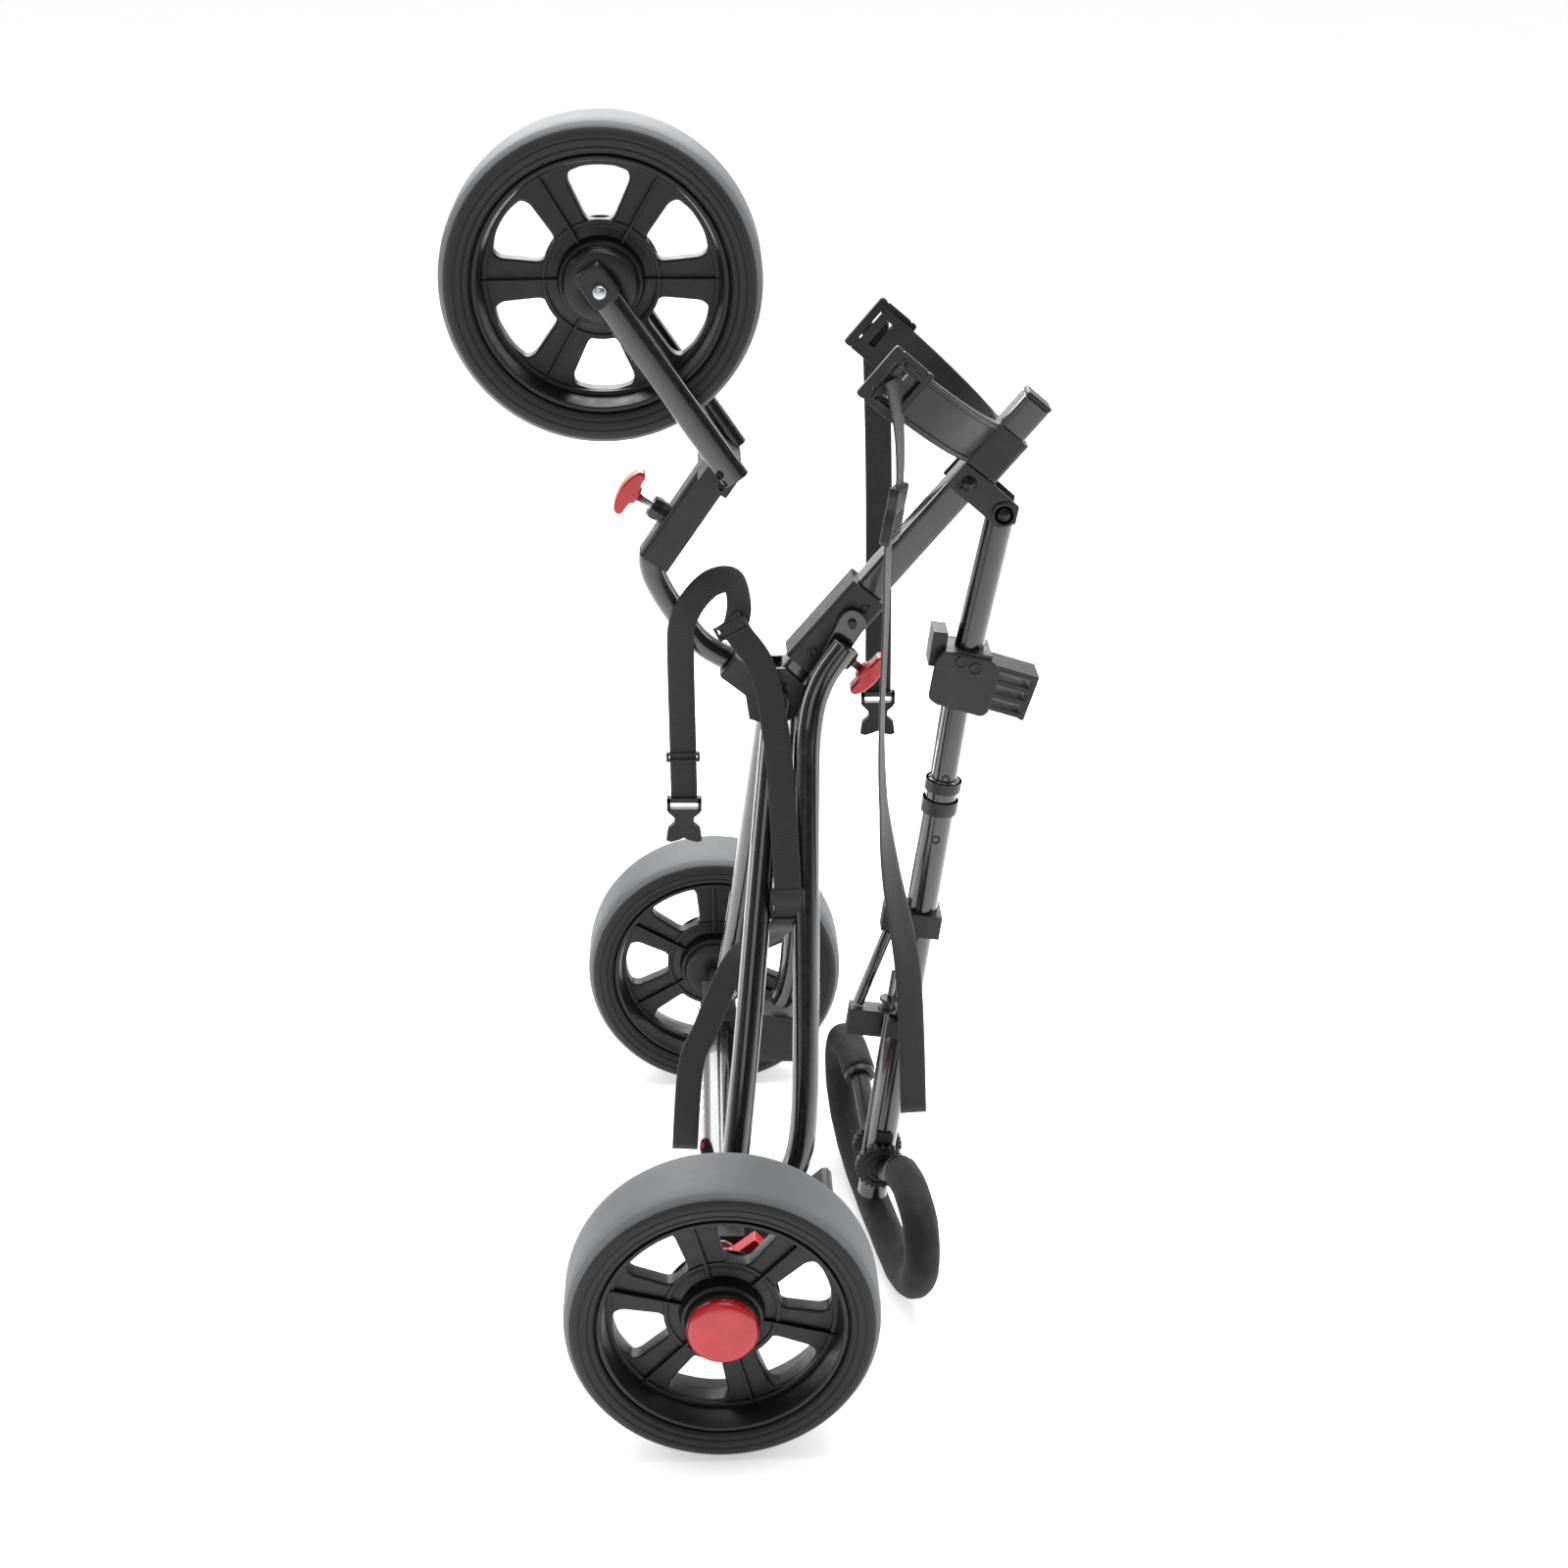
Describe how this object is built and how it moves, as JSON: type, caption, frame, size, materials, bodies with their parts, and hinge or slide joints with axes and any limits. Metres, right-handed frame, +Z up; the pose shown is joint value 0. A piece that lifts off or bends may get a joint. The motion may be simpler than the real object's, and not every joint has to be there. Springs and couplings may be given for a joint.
{
  "type": "golf push cart",
  "caption": "Folded three-wheel golf bag push cart with a bag cradle, telescoping fold-down hoop handle, swivel front fork and webbing straps.",
  "frame": {"origin": "on the ground under the middle of the folded cart's box", "axes": "+Z up, Y along the rear axle, +X from the front wheel's side to the handle's side"},
  "size_m": [0.537, 0.7456, 1.1238],
  "materials": {
    "tube": "gloss black powder coat",
    "plastic": "satin moulded black",
    "rim": "satin moulded black",
    "red": "gloss red",
    "steel": "zinc plated, black on the bolts",
    "tyre": "smooth grey foam rubber",
    "grip": "matte foam",
    "web": "woven webbing"
  },
  "bodies": {
    "frame": {"spine_tube": "tube", "spine_end_cap": "plastic", "knee_bracket": "plastic", "knee_bolt": "steel", "knee_rest_knob": "plastic", "bag_cradle": "plastic", "handle_bracket": "plastic", "fold_bolt": "steel", "bracket_bolt": "steel", "upper_strap_far": "web", "upper_buckle_hook": "plastic", "upper_strap_near": "web", "upper_buckle_socket": "plastic", "upper_strap_end": "web"},
    "collar": {"slide_collar": "plastic"},
    "collar_lock": {"collar_pin": "steel", "collar_knob": "red"},
    "struts": {"strut_near": "tube", "strut_far": "tube"},
    "rear_frame": {"rear_leg_near": "tube", "rear_leg_far": "tube", "axle_crossbar": "tube", "rear_axle": "steel", "axle_fitting_near": "plastic", "axle_fitting_far": "plastic", "crossbar_clip": "steel"},
    "brake": {"brake_pedal": "red"},
    "near_wheel": {"near_wheel_tyre": "tyre", "near_wheel_rim": "rim", "near_wheel_hub_cap": "red"},
    "far_wheel": {"far_wheel_tyre": "tyre", "far_wheel_rim": "rim", "far_wheel_hub_cap": "red"},
    "front_arm": {"front_arm_yoke": "plastic", "front_arm_tube": "tube", "lower_strap_loop": "web", "lower_strap_hook": "plastic", "lower_strap_tail": "web", "lower_strap_slider": "plastic", "lower_strap_end": "web"},
    "fork": {"steering_sleeve": "plastic", "fork_leg_near": "tube", "fork_leg_far": "tube", "front_axle": "steel"},
    "steer_lock": {"steering_pin": "steel", "steering_knob": "red"},
    "front_wheel": {"front_wheel_tyre": "tyre", "front_wheel_rim": "rim", "front_wheel_hub_cap": "plastic"},
    "handle": {"handle_upper_tube": "tube", "handle_clamp": "plastic", "handle_inner_tube": "tube", "handle_side_tube": "tube"},
    "handle_lower": {"handle_lower_tube": "tube", "ratchet_bolt": "steel", "console_clamp_upper": "plastic", "console_clamp_lower": "plastic", "console_rod": "tube"},
    "hoop": {"hoop_frame": "plastic", "hoop_grip": "grip"}
  },
  "joints": [
    {"name": "leg_fold", "type": "hinge", "parent": "frame", "child": "rear_frame", "pos_m": [0.02095, 0, 0.594], "axis": [0, -1, 0], "range_deg": [0, 40], "deforming": ["upper_strap_end", "lower_strap_tail", "lower_strap_slider", "lower_strap_end"]},
    {"name": "collar_slide", "type": "slide", "parent": "frame", "child": "collar", "axis": [0.6468, 0, 0.7627], "range_m": [0, 0.1185]},
    {"name": "strut_fold", "type": "hinge", "parent": "collar", "child": "struts", "pos_m": [0.09127, 0, 0.67073], "axis": [0, -1, 0], "range_deg": [0, 23.2]},
    {"name": "collar_lock_pull", "type": "slide", "parent": "collar", "child": "collar_lock", "axis": [0.7627, 0, -0.6468], "range_m": [0, 0.008], "stiffness_N_per_m": 900, "springref_m": -0.003},
    {"name": "front_arm_fold", "type": "hinge", "parent": "frame", "child": "front_arm", "pos_m": [0.02095, 0, 0.594], "axis": [0, -1, 0], "range_deg": [0, 100.1]},
    {"name": "fork_swivel", "type": "hinge", "parent": "front_arm", "child": "fork", "pos_m": [-0.02575, 0, 0.818], "axis": [0.565, 0, 0.8251], "range_deg": [-45, 45]},
    {"name": "steer_lock_pull", "type": "slide", "parent": "fork", "child": "steer_lock", "axis": [-0.8251, 0, 0.565], "range_m": [0, 0.008], "stiffness_N_per_m": 900, "springref_m": -0.003},
    {"name": "front_wheel_spin", "type": "hinge", "parent": "fork", "child": "front_wheel", "pos_m": [-0.12855, 0, 0.9838], "axis": [0, 1, 0], "continuous": true},
    {"name": "near_wheel_spin", "type": "hinge", "parent": "rear_frame", "child": "near_wheel", "pos_m": [-0.03675, -0.327, 0.14], "axis": [0, 1, 0], "continuous": true},
    {"name": "far_wheel_spin", "type": "hinge", "parent": "rear_frame", "child": "far_wheel", "pos_m": [-0.03675, 0.327, 0.14], "axis": [0, 1, 0], "continuous": true},
    {"name": "brake_press", "type": "hinge", "parent": "rear_frame", "child": "brake", "pos_m": [-0.03675, -0.264, 0.14], "axis": [0, 1, 0], "range_deg": [0, 20]},
    {"name": "handle_fold", "type": "hinge", "parent": "frame", "child": "handle", "pos_m": [0.22754, 0, 0.7702], "axis": [0, -1, 0], "range_deg": [0, 147.1]},
    {"name": "handle_telescope", "type": "slide", "parent": "handle", "child": "handle_lower", "axis": [-0.1326, 0, -0.9912], "range_m": [0, 0.12]},
    {"name": "hoop_angle", "type": "hinge", "parent": "handle_lower", "child": "hoop", "pos_m": [0.12609, 0, 0.08561], "axis": [0, 1, 0], "range_deg": [0, 65]}
  ],
  "couplings": [
    {"joint": "collar_slide", "follows": "leg_fold", "m_per_rad": 0.16902},
    {"joint": "strut_fold", "follows": "leg_fold", "ratio": 0.5775},
    {"joint": "front_arm_fold", "follows": "leg_fold", "ratio": 2.5},
    {"joint": "handle_fold", "follows": "leg_fold", "ratio": 3.675}
  ]
}
